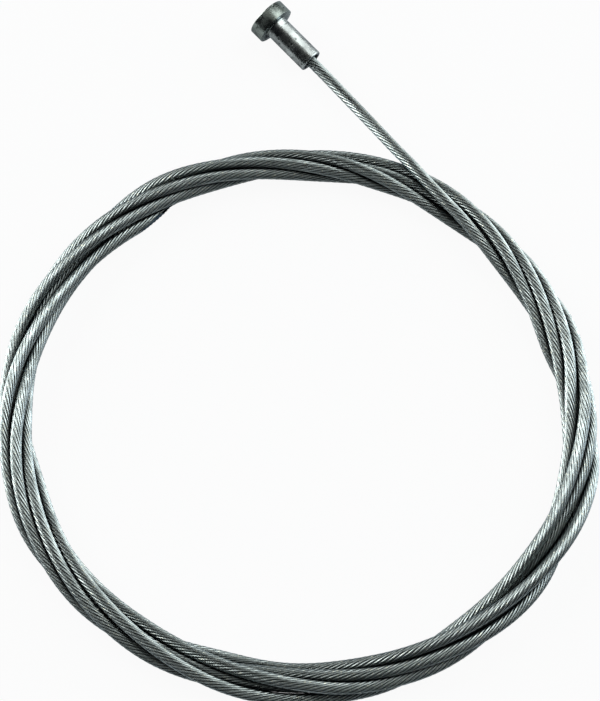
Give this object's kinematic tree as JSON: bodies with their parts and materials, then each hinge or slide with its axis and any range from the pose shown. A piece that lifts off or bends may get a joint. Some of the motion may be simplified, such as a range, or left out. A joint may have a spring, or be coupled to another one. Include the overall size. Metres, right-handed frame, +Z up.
{
  "type": "inner cable",
  "caption": "Coiled steel inner cable with a cast mushroom nipple that seats in a brake lever and pulls the brake.",
  "frame": {"origin": "middle of the whole cable's outline seen from above, on the surface that it lies on", "axes": "+Z up from the surface, +Y from the middle towards the nipple, +X to the right seen from above with the nipple at the top"},
  "size_m": [0.0804, 0.0995, 0.0062],
  "materials": {
    "galvanised_wire": "galvanised steel wire strand, satin",
    "cast_zinc": "satin die-cast zinc with fine casting marks"
  },
  "bodies": {
    "root": {"cable_coil": "galvanised_wire", "cable_lead": "galvanised_wire", "nipple": "cast_zinc"}
  },
  "joints": []
}
